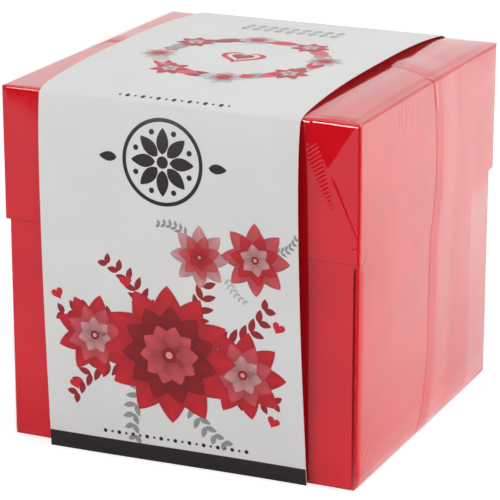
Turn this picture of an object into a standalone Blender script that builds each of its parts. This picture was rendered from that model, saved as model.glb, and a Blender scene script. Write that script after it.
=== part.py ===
"""Explosion box: a square gift box of red card whose walls fall open when its lid is lifted off.

Lengths are in metres, +Z is up and the front is towards -Y. The origin is the middle of the underside.
Every wall, page and wing is modelled standing up, in the frame of the side that carries it. That frame's
X runs along the side, its Y points into the box and its Z is up, and it has its origin on the hinge line.
"""
import math

import bmesh
import bpy
from mathutils import Matrix, Vector

# Sheet thicknesses and the clearance between pieces that touch
CARD = 0.0008
WING_CARD = 0.0005
LEAF_CARD = 0.0004
GIFT_CARD = 0.0006
RIBBON = 0.0004
PAPER = 0.0003
FILM = 0.0001
GAP = 0.0003
CARD_EDGE = 0.0002

# Outer box and lid, as measured in the photograph
BOX_HALF = 0.0586
LID_TOP = 0.1150
SKIRT_DEPTH = 0.0428
WALL_HEADROOM = 0.0005
WALL_CORNER = 0.0020

# Inner box: a scored cross of card whose pages carry the wings
PAGE_HEADROOM = 0.0022
PAGE_CORNER = 0.0040

# Wings: half hearts that swing out between the arms
WING_RISE = 0.0048
WING_MARGIN = 0.0025
WING_TOP_MARGIN = 0.0055
WING_FOOT_SHARE = 0.48
WING_SHOULDER_SHARE = 0.38
WING_FOOT_CORNER = 0.0030
WING_SHOULDER_CORNER = 0.0100
WING_LOBE_SHARE = 0.46
WING_HINGE_LOBE_SHARE = 0.37
SLIT_LENGTH = 0.0200
SLIT_WIDTH = 0.0008
SLIT_SPACING = 0.0038
SLIT_RISE = 0.0085
ROUND_CARD_RADIUS = 0.0180
ROUND_CARD_DROP = 0.0235

# Photo cards that lie on the pages
PHOTO_CARD_WIDTH = 0.0900
PHOTO_CARD_HEIGHT = 0.0660
PHOTO_CARD_CORNER = 0.0030
PHOTO_CARD_DROP = 0.0080

# Platform with a drawer
PLATFORM_CLEARANCE = 0.0008
PLATFORM_HEIGHT = 0.0240
DRAWER_SIDE_GAP = 0.0005
DRAWER_HEADROOM = 0.0011
DRAWER_BACK_GAP = 0.0010
THUMB_NOTCH_RADIUS = 0.0090

# Gift box that stands on the platform
GIFT_HALF = 0.0350
GIFT_SKIRT = 0.0180
GIFT_HEADROOM = 0.0005
GIFT_RIBBON_WIDTH = 0.0100
GIFT_RIBBON_HEM = 0.0010

# Bow on the gift box
BOW_HEIGHT = 0.0100
BOW_HEADROOM = 0.0010
BOW_LOOP_LENGTH = 0.0230
BOW_RIBBON = 0.0006
BOW_LOOP_WIDTH = 0.0100
BOW_PINCH_SHARE = 0.45
BOW_KNOT_LENGTH = 0.0060
BOW_KNOT_WIDTH = 0.0070
BOW_KNOT_HEIGHT = 0.0062
BOW_TAIL_LENGTH = 0.0250
BOW_TAIL_WAVE = 0.0008
BOW_TAIL_NOTCH = 0.0030
BOW_TAIL_TURN = math.radians(34)

# Ribbon ties, folded flat inside the left and right walls
TIE_WIDTH = 0.0100
TIE_DROP = 0.0060
TIE_RUN = 0.0750
TIE_TURN_RUN = 0.0420
TIE_NOTCH = 0.0040

# Paper sleeve round the closed box
SLEEVE_WIDTH = 0.0885
SLEEVE_FOOT_OFFSET = -0.0004
SLEEVE_LEAN = 0.0020
SLEEVE_RISE = 0.0035
SLEEVE_RISE_POWER_SHARE = 2.6
SLEEVE_FLARE = 0.0006
SLEEVE_BULGE = 0.0029
SLEEVE_BULGE_FOOT_POWER_SHARE = 1.15
SLEEVE_BULGE_CREASE_POWER_SHARE = 0.60
SLEEVE_FOOT = 0.0002

# Shrink film under the sleeve
FILM_FOOT = 0.0003
FILM_STEP = 0.0012

# Cutters run past what they cut by this much
OVERRUN = 0.0020

# Places worked out from the sizes above
LID_HALF = BOX_HALF + GAP + CARD
LID_CEILING = LID_TOP - CARD
SKIRT_BOTTOM = LID_TOP - SKIRT_DEPTH
WALL_FOOT = CARD + GAP
WALL_TOP = LID_CEILING - WALL_HEADROOM
WALL_HINGE_HALF = BOX_HALF - CARD / 2
WALL_HINGE_Z = CARD / 2
SIDE_WALL_HALF = BOX_HALF - CARD - GAP

TIE_FACE = BOX_HALF - CARD - GAP - RIBBON
PAGE_FACE = TIE_FACE - GAP
INNER_BASE_FOOT = CARD + GAP
INNER_BASE_TOP = INNER_BASE_FOOT + CARD
PAGE_FOOT = INNER_BASE_TOP + GAP
PAGE_TOP = LID_CEILING - PAGE_HEADROOM
PAGE_HINGE_HALF = PAGE_FACE + GAP
PAGE_OPEN_Z = CARD + GAP + RIBBON + GAP
PAGE_HINGE_Z = PAGE_OPEN_Z + PAGE_FACE - PAGE_HINGE_HALF

LEAF_OFFSET = GAP
LEAF_ON_WING_OFFSET = LEAF_OFFSET + LEAF_CARD + GAP
WING_OFFSET = LEAF_ON_WING_OFFSET + LEAF_CARD + GAP
WING_AXIS_OFFSET = WING_OFFSET / 2
PAGE_INNER_FACE = PAGE_FACE - CARD
WING_INNER_FACE = PAGE_INNER_FACE - WING_OFFSET - WING_CARD
PAGE_HALF = WING_INNER_FACE - GAP
WING_AXIS_HALF = PAGE_HALF + GAP / 2
WING_REACH = PAGE_HALF - WING_MARGIN

PLATFORM_HALF = WING_INNER_FACE - PLATFORM_CLEARANCE
PLATFORM_FOOT = INNER_BASE_TOP + GAP
PLATFORM_TOP = PLATFORM_FOOT + PLATFORM_HEIGHT
DRAWER_HALF = PLATFORM_HALF - CARD - DRAWER_SIDE_GAP
DRAWER_FOOT = PLATFORM_FOOT + CARD + GAP
DRAWER_TOP = PLATFORM_TOP - CARD - DRAWER_HEADROOM
DRAWER_BACK = PLATFORM_HALF - CARD - DRAWER_BACK_GAP

WING_FOOT = PLATFORM_TOP + WING_RISE
WING_TOP = PAGE_TOP - WING_TOP_MARGIN

GIFT_FOOT = PLATFORM_TOP + GAP + RIBBON + GAP
BOW_TOP = LID_CEILING - BOW_HEADROOM
BOW_FOOT = BOW_TOP - BOW_HEIGHT
GIFT_TOP = BOW_FOOT - GAP - RIBBON - GAP
GIFT_TRAY_HALF = GIFT_HALF - GIFT_CARD - GAP
GIFT_TRAY_TOP = GIFT_TOP - GIFT_CARD - GIFT_HEADROOM
GIFT_SKIRT_BOTTOM = GIFT_TOP - GIFT_SKIRT

FILM_HALF = LID_HALF + GAP + FILM
FILM_TIGHT_HALF = BOX_HALF + GAP + FILM
FILM_TOP = LID_TOP + GAP + FILM
SLEEVE_FACE = FILM_HALF + GAP
SLEEVE_CREASE = FILM_TOP + GAP

# Smoothness of round shapes, and what counts as a sharp edge
CORNER_STEPS = 6
LOBE_STEPS = 12
CIRCLE_STEPS = 40
ARCH_STEPS = 16
LEG_STEPS = 12
LOOP_STEPS = 28
TAIL_STEPS = 10
CARD_EDGE_STEPS = 2
SHARP_ANGLE = math.radians(40)
QUARTER = math.pi / 2

# Sides in order, turning anticlockwise seen from above
SIDES = ("front", "right", "back", "left")

# Colour, roughness and metallic value of each kind of surface
RED_CARD = ((0.56, 0.006, 0.016), 0.42, 0.0)
RED_LEAF = ((0.60, 0.010, 0.020), 0.50, 0.0)
RED_RIBBON = ((0.52, 0.008, 0.020), 0.30, 0.0)
WHITE_PAPER = ((0.80, 0.80, 0.79), 0.45, 0.0)
CLEAR_FILM = ((0.95, 0.93, 0.93), 0.08, 0.0)


def clear_scene():
    """Removes whatever the file held."""
    for thing in list(bpy.data.objects):
        bpy.data.objects.remove(thing, do_unlink=True)


def new_collection(name):
    """A collection under the scene's own."""
    collection = bpy.data.collections.new(name)
    bpy.context.scene.collection.children.link(collection)
    return collection


def principled(name, look):
    """The one material of a sub-part."""
    colour, roughness, metallic = look
    material = bpy.data.materials.new(name)
    material.use_nodes = True
    shader = material.node_tree.nodes["Principled BSDF"]
    shader.inputs["Base Color"].default_value = (*colour, 1.0)
    shader.inputs["Roughness"].default_value = roughness
    shader.inputs["Metallic"].default_value = metallic
    return material


def place(name, data, look, parent=None):
    """An object of the part, with its own material."""
    piece = bpy.data.objects.new(name, data)
    data.materials.clear()
    data.materials.append(principled(name, look))
    PARTS.objects.link(piece)
    piece.parent = parent
    return piece


def empty(name, location, turn=0.0, parent=None):
    """A frame that pieces are parented to."""
    frame = bpy.data.objects.new(name, None)
    frame.location = location
    frame.rotation_euler.z = turn
    PARTS.objects.link(frame)
    frame.parent = parent
    return frame


def as_cutter(piece):
    """Takes a shape out of the part and leaves it as a guide for a cut or a union."""
    for collection in list(piece.users_collection):
        collection.objects.unlink(piece)
    CUTTERS.objects.link(piece)
    piece.hide_render = True
    piece.display_type = "WIRE"
    return piece


def combine(piece, other, operation):
    """Cuts a piece by another shape, joins them, or keeps what they share."""
    boolean = piece.modifiers.new(operation.lower(), "BOOLEAN")
    boolean.operation = operation
    boolean.object = as_cutter(other)


def shade(mesh):
    """Smooth shading with its sharp edges kept."""
    mesh.shade_smooth()
    mesh.set_sharp_from_angle(angle=SHARP_ANGLE)


def arc_points(corner, before, after, radius, steps):
    """The round corner of an outline, from one neighbour's side to the other's."""
    to_before = (before - corner).normalized()
    to_after = (after - corner).normalized()
    opening = to_before.angle(to_after)
    reach = radius / math.tan(opening / 2)
    centre = corner + (to_before + to_after).normalized() * (radius / math.sin(opening / 2))
    start = corner + to_before * reach - centre
    end = corner + to_after * reach - centre
    swing = start.angle_signed(end)
    points = []
    for step in range(steps + 1):
        turn = -swing * step / steps
        points.append(centre + Matrix.Rotation(turn, 2) @ start)
    return points


def outline(corners, steps=CORNER_STEPS):
    """A closed outline from corners given as (x, y, radius)."""
    spots = [Vector(corner[:2]) for corner in corners]
    points = []
    for index, corner in enumerate(corners):
        radius = corner[2]
        if radius > 0:
            after = spots[(index + 1) % len(spots)]
            points += arc_points(spots[index], spots[index - 1], after, radius, steps)
        else:
            points.append(spots[index])
    return points


def rectangle(left, right, low, high, low_radius=0.0, high_radius=0.0):
    """A rectangle whose lower and upper corners may be round."""
    return outline(
        [
            (left, low, low_radius),
            (right, low, low_radius),
            (right, high, high_radius),
            (left, high, high_radius),
        ]
    )


def circle(centre, radius):
    """A round outline."""
    points = []
    for step in range(CIRCLE_STEPS):
        angle = 2 * math.pi * step / CIRCLE_STEPS
        points.append(Vector((centre[0] + radius * math.cos(angle), centre[1] + radius * math.sin(angle))))
    return points


def flat_sheet(name, outlines, thickness, look, parent=None):
    """A flat piece in its own XY plane, whose later outlines are holes in the first."""
    curve = bpy.data.curves.new(name, "CURVE")
    curve.dimensions = "2D"
    curve.fill_mode = "BOTH"
    curve.extrude = thickness / 2
    for points in outlines:
        spline = curve.splines.new("POLY")
        spline.points.add(len(points) - 1)
        for point, spot in zip(spline.points, points):
            point.co = (spot[0], spot[1], 0, 1)
        spline.use_cyclic_u = True
    return place(name, curve, look, parent)


def standing_sheet(name, outlines, thickness, look, parent, depth):
    """A flat piece that stands in its side's frame, with its middle plane at a depth into the box."""
    sheet = flat_sheet(name, outlines, thickness, look, parent)
    sheet.rotation_euler.x = QUARTER
    sheet.location.y = depth
    return sheet


def box_mesh(name, low, high):
    """A plain box between two corners."""
    mesh = bpy.data.meshes.new(name)
    cage = bmesh.new()
    bmesh.ops.create_cube(cage, size=1.0)
    size = Vector(high) - Vector(low)
    middle = (Vector(high) + Vector(low)) / 2
    bmesh.ops.transform(cage, matrix=Matrix.Translation(middle) @ Matrix.Diagonal((*size, 1)), verts=cage.verts)
    cage.to_mesh(mesh)
    cage.free()
    return mesh


def remove_face(mesh, outward):
    """Opens a box on the side that faces a direction."""
    cage = bmesh.new()
    cage.from_mesh(mesh)
    cage.normal_update()
    face = max(cage.faces, key=lambda item: item.normal.dot(Vector(outward)))
    bmesh.ops.delete(cage, geom=[face], context="FACES_ONLY")
    cage.to_mesh(mesh)
    cage.free()


def thicken(piece, thickness, edge=0.0):
    """Gives an open surface its thickness, inwards, and eases its edges."""
    solidify = piece.modifiers.new("thickness", "SOLIDIFY")
    solidify.thickness = thickness
    solidify.offset = -1
    solidify.use_even_offset = True
    if edge > 0:
        bevel = piece.modifiers.new("edges", "BEVEL")
        bevel.width = edge
        bevel.segments = CARD_EDGE_STEPS
        bevel.limit_method = "ANGLE"


def open_box(name, low, high, open_side, thickness, look, edge=0.0, parent=None):
    """A thin-walled box that is open on one side."""
    mesh = box_mesh(name, low, high)
    remove_face(mesh, open_side)
    piece = place(name, mesh, look, parent)
    thicken(piece, thickness, edge)
    return piece


def strip(name, path, left, right, look, parent=None):
    """A ribbon-like surface along a path of (y, z) points, from one x to another."""
    mesh = bpy.data.meshes.new(name)
    cage = bmesh.new()
    row = [cage.verts.new((left, y, z)) for y, z in path]
    edges = [cage.edges.new(pair) for pair in zip(row, row[1:])]
    grown = bmesh.ops.extrude_edge_only(cage, edges=edges)["geom"]
    moved = [item for item in grown if isinstance(item, bmesh.types.BMVert)]
    bmesh.ops.translate(cage, verts=moved, vec=(right - left, 0, 0))
    bmesh.ops.recalc_face_normals(cage, faces=cage.faces)
    cage.to_mesh(mesh)
    cage.free()
    return place(name, mesh, look, parent)


def side_frame(label, side, half, height):
    """The frame on the hinge line of one side."""
    turn = SIDES.index(side) * QUARTER
    middle = Matrix.Rotation(turn, 3, "Z") @ Vector((0, -half, height))
    return empty(f"{label}_{side}", middle, turn)


def build_outer_box():
    """The base and its four walls, one scored cross of card."""
    base = flat_sheet("base_panel", [rectangle(-BOX_HALF, BOX_HALF, -BOX_HALF, BOX_HALF)], CARD, RED_CARD)
    base.location.z = CARD / 2
    low = WALL_FOOT - WALL_HINGE_Z
    high = WALL_TOP - WALL_HINGE_Z
    for side in SIDES:
        half = BOX_HALF if side in ("front", "back") else SIDE_WALL_HALF
        frame = side_frame("wall_hinge", side, WALL_HINGE_HALF, WALL_HINGE_Z)
        shape = rectangle(-half, half, low, high, 0.0, WALL_CORNER)
        standing_sheet(f"outer_wall_{side}", [shape], CARD, RED_CARD, frame, 0.0)
        if side in ("left", "right"):
            build_ribbon_tie(side, frame)


def build_ribbon_tie(side, frame):
    """A tie that runs down the inside of its wall, turns at a fold and ends in a swallow tail."""
    top = WALL_TOP - TIE_DROP - WALL_HINGE_Z
    fold = top - TIE_RUN
    half = TIE_WIDTH / 2
    end = half + TIE_TURN_RUN
    shape = outline(
        [
            (-half, top, 0.0),
            (-half, fold + TIE_WIDTH, 0.0),
            (half, fold, 0.0),
            (end, fold, 0.0),
            (end - TIE_NOTCH, fold + half, 0.0),
            (end, fold + TIE_WIDTH, 0.0),
            (half, fold + TIE_WIDTH, 0.0),
            (half, top, 0.0),
        ]
    )
    depth = WALL_HINGE_HALF - TIE_FACE - RIBBON / 2
    standing_sheet(f"ribbon_tie_{side}", [shape], RIBBON, RED_RIBBON, frame, depth)


def build_inner_box():
    """The inner base, its four pages and what the pages carry."""
    reach = PAGE_FACE
    notch = PAGE_HALF
    shape = outline(
        [
            (-notch, -reach, 0.0),
            (notch, -reach, 0.0),
            (notch, -notch, 0.0),
            (reach, -notch, 0.0),
            (reach, notch, 0.0),
            (notch, notch, 0.0),
            (notch, reach, 0.0),
            (-notch, reach, 0.0),
            (-notch, notch, 0.0),
            (-reach, notch, 0.0),
            (-reach, -notch, 0.0),
            (-notch, -notch, 0.0),
        ]
    )
    base = flat_sheet("inner_base_panel", [shape], CARD, RED_CARD)
    base.location.z = INNER_BASE_FOOT + CARD / 2
    low = PAGE_FOOT - PAGE_HINGE_Z
    high = PAGE_TOP - PAGE_HINGE_Z
    for side in SIDES:
        frame = side_frame("page_hinge", side, PAGE_HINGE_HALF, PAGE_HINGE_Z)
        page = rectangle(-PAGE_HALF, PAGE_HALF, low, high, 0.0, PAGE_CORNER)
        depth = PAGE_HINGE_HALF - PAGE_FACE + CARD / 2
        standing_sheet(f"inner_wall_{side}", [page], CARD, RED_CARD, frame, depth)
        build_photo_card(side, frame)
        build_wing(side, frame, "left", -1)
        build_wing(side, frame, "right", 1)


def build_photo_card(side, frame):
    """A card with round corners that lies on a page."""
    high = PAGE_TOP - PHOTO_CARD_DROP - PAGE_HINGE_Z
    low = high - PHOTO_CARD_HEIGHT
    half = PHOTO_CARD_WIDTH / 2
    shape = rectangle(-half, half, low, high, PHOTO_CARD_CORNER, PHOTO_CARD_CORNER)
    depth = PAGE_HINGE_HALF - PAGE_INNER_FACE + LEAF_OFFSET + LEAF_CARD / 2
    standing_sheet(f"photo_card_{side}", [shape], LEAF_CARD, RED_LEAF, frame, depth)


def wing_outline(hand, foot, top):
    """Half a heart: a straight foot, a slanting lower edge and a round lobe."""
    inner = -hand * GAP / 2
    reach = -hand * WING_REACH
    foot_reach = -hand * WING_REACH * WING_FOOT_SHARE
    shoulder = foot + (top - foot) * WING_SHOULDER_SHARE
    corners = [
        (inner, foot, 0.0),
        (foot_reach, foot, WING_FOOT_CORNER),
        (reach, shoulder, WING_SHOULDER_CORNER),
        (reach, top, WING_REACH * WING_LOBE_SHARE),
        (inner, top, WING_REACH * WING_HINGE_LOBE_SHARE),
    ]
    return outline(corners, LOBE_STEPS)


def build_wing(side, page_frame, label, hand):
    """A wing folded onto its page, with two slits and a round card on its face."""
    axis_depth = PAGE_HINGE_HALF - PAGE_INNER_FACE + WING_AXIS_OFFSET
    frame = empty(f"wing_hinge_{side}_{label}", (hand * WING_AXIS_HALF, axis_depth, 0.0), 0.0, page_frame)
    foot = WING_FOOT - PAGE_HINGE_Z
    top = WING_TOP - PAGE_HINGE_Z
    middle = -hand * WING_REACH / 2
    slit_low = foot + SLIT_RISE
    shapes = [wing_outline(hand, foot, top)]
    for shift in (-SLIT_SPACING / 2, SLIT_SPACING / 2):
        left = middle + shift - SLIT_WIDTH / 2
        shapes.append(rectangle(left, left + SLIT_WIDTH, slit_low, slit_low + SLIT_LENGTH))
    depth = WING_OFFSET + WING_CARD / 2 - WING_AXIS_OFFSET
    standing_sheet(f"wing_{side}_{label}", shapes, WING_CARD, RED_CARD, frame, depth)
    card = circle((middle, top - ROUND_CARD_DROP), ROUND_CARD_RADIUS)
    card_depth = LEAF_ON_WING_OFFSET + LEAF_CARD / 2 - WING_AXIS_OFFSET
    standing_sheet(f"round_card_{side}_{label}", [card], LEAF_CARD, RED_LEAF, frame, card_depth)


def build_platform():
    """A low case, open at the front, and the drawer in it."""
    low = (-PLATFORM_HALF, -PLATFORM_HALF, PLATFORM_FOOT)
    high = (PLATFORM_HALF, PLATFORM_HALF, PLATFORM_TOP)
    open_box("platform_case", low, high, (0, -1, 0), CARD, RED_CARD, CARD_EDGE)
    tray_low = (-DRAWER_HALF, -PLATFORM_HALF, DRAWER_FOOT)
    tray_high = (DRAWER_HALF, DRAWER_BACK, DRAWER_TOP)
    drawer = open_box("drawer_tray", tray_low, tray_high, (0, 0, 1), CARD, RED_CARD)
    bpy.ops.mesh.primitive_cylinder_add(
        vertices=CIRCLE_STEPS,
        radius=THUMB_NOTCH_RADIUS,
        depth=CARD + 2 * OVERRUN,
        location=(0, -PLATFORM_HALF + CARD / 2, DRAWER_TOP),
        rotation=(QUARTER, 0, 0),
    )
    notch = bpy.context.object
    notch.name = "thumb_notch_cutter"
    combine(drawer, notch, "DIFFERENCE")


def cross_band(name, shell_low, shell_high, open_side):
    """Two ribbons that cross on one face of a box and run along its four sides."""
    band = open_box(name, shell_low, shell_high, open_side, RIBBON, RED_RIBBON)
    half = GIFT_RIBBON_WIDTH / 2
    far = shell_high[0] + OVERRUN
    shape = outline(
        [
            (-half, -far, 0.0),
            (half, -far, 0.0),
            (half, -half, 0.0),
            (far, -half, 0.0),
            (far, half, 0.0),
            (half, half, 0.0),
            (half, far, 0.0),
            (-half, far, 0.0),
            (-half, half, 0.0),
            (-far, half, 0.0),
            (-far, -half, 0.0),
            (-half, -half, 0.0),
        ]
    )
    height = shell_high[2] - shell_low[2]
    plus = flat_sheet(f"{name}_plus", [shape], height + 2 * OVERRUN, RED_RIBBON)
    solid_plus = curve_as_mesh(plus)
    solid_plus.location.z = (shell_high[2] + shell_low[2]) / 2
    combine(band, solid_plus, "INTERSECT")
    return band


def curve_as_mesh(piece):
    """The same shape as a welded mesh, which a cut can use."""
    bpy.context.view_layer.update()
    shape = piece.evaluated_get(bpy.context.evaluated_depsgraph_get())
    mesh = bpy.data.meshes.new_from_object(shape)
    cage = bmesh.new()
    cage.from_mesh(mesh)
    bmesh.ops.remove_doubles(cage, verts=cage.verts, dist=CARD_EDGE / 10)
    cage.to_mesh(mesh)
    cage.free()
    name = piece.name
    matrix = piece.matrix_world.copy()
    bpy.data.objects.remove(piece, do_unlink=True)
    solid = bpy.data.objects.new(name, mesh)
    solid.matrix_world = matrix
    PARTS.objects.link(solid)
    return solid


def build_gift_box():
    """The small box on the platform, with its lid, its ribbons and a bow."""
    tray_low = (-GIFT_TRAY_HALF, -GIFT_TRAY_HALF, GIFT_FOOT)
    tray_high = (GIFT_TRAY_HALF, GIFT_TRAY_HALF, GIFT_TRAY_TOP)
    open_box("gift_box_tray", tray_low, tray_high, (0, 0, 1), GIFT_CARD, RED_CARD)
    lid_low = (-GIFT_HALF, -GIFT_HALF, GIFT_SKIRT_BOTTOM)
    lid_high = (GIFT_HALF, GIFT_HALF, GIFT_TOP)
    open_box("gift_box_lid", lid_low, lid_high, (0, 0, -1), GIFT_CARD, RED_CARD)
    tray_ribbon_half = GIFT_TRAY_HALF + GAP + RIBBON
    band_low = (-tray_ribbon_half, -tray_ribbon_half, GIFT_FOOT - GAP - RIBBON)
    band_high = (tray_ribbon_half, tray_ribbon_half, GIFT_SKIRT_BOTTOM - GIFT_RIBBON_HEM)
    cross_band("gift_ribbon_band", band_low, band_high, (0, 0, 1))
    lid_ribbon_half = GIFT_HALF + GAP + RIBBON
    cross_low = (-lid_ribbon_half, -lid_ribbon_half, GIFT_SKIRT_BOTTOM)
    cross_high = (lid_ribbon_half, lid_ribbon_half, GIFT_TOP + GAP + RIBBON)
    cross_band("gift_ribbon_cross", cross_low, cross_high, (0, 0, -1))
    build_bow()


def bow_loop(hand):
    """One loop of the bow: a pointed teardrop of ribbon that is pinched at the knot."""
    mesh = bpy.data.meshes.new("bow_loop")
    cage = bmesh.new()
    middle = BOW_FOOT + BOW_HEIGHT / 2
    swell = BOW_HEIGHT / 2
    widest = max(math.sin(angle) * math.sin(angle / 2) for angle in loop_angles())
    rows = []
    for side in (-1, 1):
        row = []
        for angle in loop_angles():
            out = math.sin(angle / 2) ** 2
            rise = swell * math.sin(angle) * abs(math.sin(angle / 2)) / widest
            half = BOW_LOOP_WIDTH / 2 * (BOW_PINCH_SHARE + (1 - BOW_PINCH_SHARE) * out)
            row.append(cage.verts.new((hand * BOW_LOOP_LENGTH * out, side * half, middle + rise)))
        rows.append(row)
    near, far = rows
    for index in range(len(near)):
        cage.faces.new((near[index - 1], near[index], far[index], far[index - 1]))
    bmesh.ops.recalc_face_normals(cage, faces=cage.faces)
    cage.to_mesh(mesh)
    cage.free()
    loop = bpy.data.objects.new(f"bow_loop_{hand}", mesh)
    PARTS.objects.link(loop)
    thicken(loop, BOW_RIBBON)
    return loop


def loop_angles():
    """Angles round a loop, none of them at the knot itself."""
    return [2 * math.pi * (step + 1 / 2) / LOOP_STEPS for step in range(LOOP_STEPS)]


def bow_tail(hand):
    """A tail that leaves the knot, ripples over the lid and ends in a swallow tail."""
    mesh = bpy.data.meshes.new("bow_tail")
    cage = bmesh.new()
    half = BOW_LOOP_WIDTH * BOW_PINCH_SHARE
    low = BOW_FOOT + BOW_RIBBON
    rows = []
    for step in range(TAIL_STEPS + 1):
        share = step / TAIL_STEPS
        height = low + BOW_TAIL_WAVE * (1 + math.cos(2 * math.pi * share))
        reach = BOW_TAIL_LENGTH * share
        notch = BOW_TAIL_NOTCH if step == TAIL_STEPS else 0.0
        spots = ((reach, -half), (reach - notch, 0.0), (reach, half))
        rows.append([cage.verts.new((hand * x, y, height)) for x, y in spots])
    for before, after in zip(rows, rows[1:]):
        for side in (0, 1):
            cage.faces.new((before[side], after[side], after[side + 1], before[side + 1]))
    bmesh.ops.recalc_face_normals(cage, faces=cage.faces)
    cage.to_mesh(mesh)
    cage.free()
    tail = bpy.data.objects.new(f"bow_tail_{hand}", mesh)
    tail.rotation_euler.z = -hand * BOW_TAIL_TURN
    PARTS.objects.link(tail)
    thicken(tail, BOW_RIBBON)
    return tail


def build_bow():
    """Knot, two loops and two tails, joined into one piece of ribbon."""
    half = Vector((BOW_KNOT_LENGTH / 2, BOW_KNOT_WIDTH / 2, BOW_KNOT_HEIGHT / 2))
    middle = Vector((0, 0, BOW_FOOT + BOW_HEIGHT / 2))
    low = middle - half
    low.z = BOW_FOOT
    knot = place("gift_bow", box_mesh("gift_bow", low, middle + half), RED_RIBBON)
    bevel = knot.modifiers.new("round", "BEVEL")
    bevel.width = BOW_KNOT_LENGTH / 4
    bevel.segments = CARD_EDGE_STEPS + 1
    for hand in (-1, 1):
        combine(knot, bow_loop(hand), "UNION")
        combine(knot, bow_tail(hand), "UNION")


def build_lid():
    """The lid, a shallow box of card that fits over the walls."""
    low = (-LID_HALF, -LID_HALF, SKIRT_BOTTOM)
    high = (LID_HALF, LID_HALF, LID_TOP)
    open_box("box_lid", low, high, (0, 0, -1), CARD, RED_CARD, CARD_EDGE)


def film_shift(spot, step_low):
    """Draws the film in below the lid: tight at the front and left, bridging at the right and back."""
    slack = FILM_HALF - FILM_TIGHT_HALF
    bridge = slack * (SKIRT_BOTTOM - spot.z) / (SKIRT_BOTTOM - FILM_FOOT)
    tight = slack if spot.z <= step_low + GAP else 0.0
    spot.x += tight if spot.x < 0 else -bridge
    spot.y += tight if spot.y < 0 else -bridge


def build_film():
    """The shrink film over lid and box, open underneath."""
    low = (-FILM_HALF, -FILM_HALF, FILM_FOOT)
    high = (FILM_HALF, FILM_HALF, FILM_TOP)
    mesh = box_mesh("shrink_film", low, high)
    remove_face(mesh, (0, 0, -1))
    cage = bmesh.new()
    cage.from_mesh(mesh)
    step_low = SKIRT_BOTTOM - FILM_STEP
    for height in (SKIRT_BOTTOM, step_low):
        everything = list(cage.verts) + list(cage.edges) + list(cage.faces)
        bmesh.ops.bisect_plane(cage, geom=everything, plane_co=(0, 0, height), plane_no=(0, 0, 1))
    for vertex in cage.verts:
        if vertex.co.z < SKIRT_BOTTOM - GAP:
            film_shift(vertex.co, step_low)
    cage.to_mesh(mesh)
    cage.free()
    film = place("shrink_film", mesh, CLEAR_FILM)
    thicken(film, FILM)


def leg_bulges():
    """How far a leg of the sleeve stands out at each step from its foot to its crease, from 0 to 1."""
    bulges = []
    for step in range(LEG_STEPS + 1):
        share = step / LEG_STEPS
        bulge = share ** SLEEVE_BULGE_FOOT_POWER_SHARE * (1 - share) ** SLEEVE_BULGE_CREASE_POWER_SHARE
        bulges.append(bulge)
    return [bulge / max(bulges) for bulge in bulges]


def sleeve_path():
    """The sleeve seen from the side: a front leg that bulges, an arched top and the same leg behind."""
    leg = []
    for step, bulge in enumerate(leg_bulges()):
        share = step / LEG_STEPS
        height = SLEEVE_FOOT + (SLEEVE_CREASE - SLEEVE_FOOT) * share
        leg.append((SLEEVE_FACE + SLEEVE_FLARE * (1 - share) + SLEEVE_BULGE * bulge, height))
    path = [(-depth, height) for depth, height in leg]
    for step in range(1, ARCH_STEPS):
        across = 2 * step / ARCH_STEPS - 1
        rise = SLEEVE_RISE * (1 - abs(across) ** SLEEVE_RISE_POWER_SHARE)
        path.append((SLEEVE_FACE * across, SLEEVE_CREASE + rise))
    return path + leg[::-1]


def build_sleeve():
    """The paper sleeve, which leans a little and arches over the lid."""
    left = SLEEVE_FOOT_OFFSET - SLEEVE_WIDTH / 2
    right = SLEEVE_FOOT_OFFSET + SLEEVE_WIDTH / 2
    sleeve = strip("paper_sleeve", sleeve_path(), left, right, WHITE_PAPER)
    for vertex in sleeve.data.vertices:
        vertex.co.x -= SLEEVE_LEAN * vertex.co.z / SLEEVE_CREASE
    solidify = sleeve.modifiers.new("thickness", "SOLIDIFY")
    solidify.thickness = PAPER
    solidify.offset = 1
    solidify.use_even_offset = True
    shade(sleeve.data)


clear_scene()
PARTS = new_collection("explosion_box")
CUTTERS = new_collection("cutters")
build_outer_box()
build_inner_box()
build_platform()
build_gift_box()
build_lid()
build_film()
build_sleeve()
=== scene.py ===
import math

import bpy
import numpy as np
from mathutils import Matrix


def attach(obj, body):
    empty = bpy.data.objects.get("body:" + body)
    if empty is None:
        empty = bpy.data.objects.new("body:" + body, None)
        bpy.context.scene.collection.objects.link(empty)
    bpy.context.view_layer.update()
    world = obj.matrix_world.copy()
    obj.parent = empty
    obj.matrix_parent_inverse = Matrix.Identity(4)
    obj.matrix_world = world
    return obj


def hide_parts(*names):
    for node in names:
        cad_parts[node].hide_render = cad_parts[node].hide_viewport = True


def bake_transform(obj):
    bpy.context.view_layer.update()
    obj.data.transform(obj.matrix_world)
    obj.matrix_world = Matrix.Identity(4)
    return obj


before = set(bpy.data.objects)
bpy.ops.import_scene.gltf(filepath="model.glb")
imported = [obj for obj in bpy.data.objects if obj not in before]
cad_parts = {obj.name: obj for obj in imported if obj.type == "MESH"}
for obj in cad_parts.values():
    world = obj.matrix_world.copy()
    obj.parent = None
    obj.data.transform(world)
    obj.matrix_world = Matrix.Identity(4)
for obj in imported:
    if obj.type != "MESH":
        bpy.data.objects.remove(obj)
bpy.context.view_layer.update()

# The places below repeat those of the CAD source, in metres.
PAPER = 0.0003
GAP = 0.0003
LID_HALF = 0.0597
SKIRT_BOTTOM = 0.0722
FILM_HALF = 0.0601
FILM_TIGHT_HALF = 0.059
FILM_TOP = 0.1154
FILM_FOOT = 0.0003
WALL_HINGE_HALF = 0.0582
WALL_FOOT = 0.0011
WALL_OUTER_FACE = 0.0586
PAGE_FOOT = 0.0022
PAGE_INNER_FACE = 0.056
TIE_FACE = 0.0571
TIE_TOP = 0.1077
GIFT_FOOT = 0.0272
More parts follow.
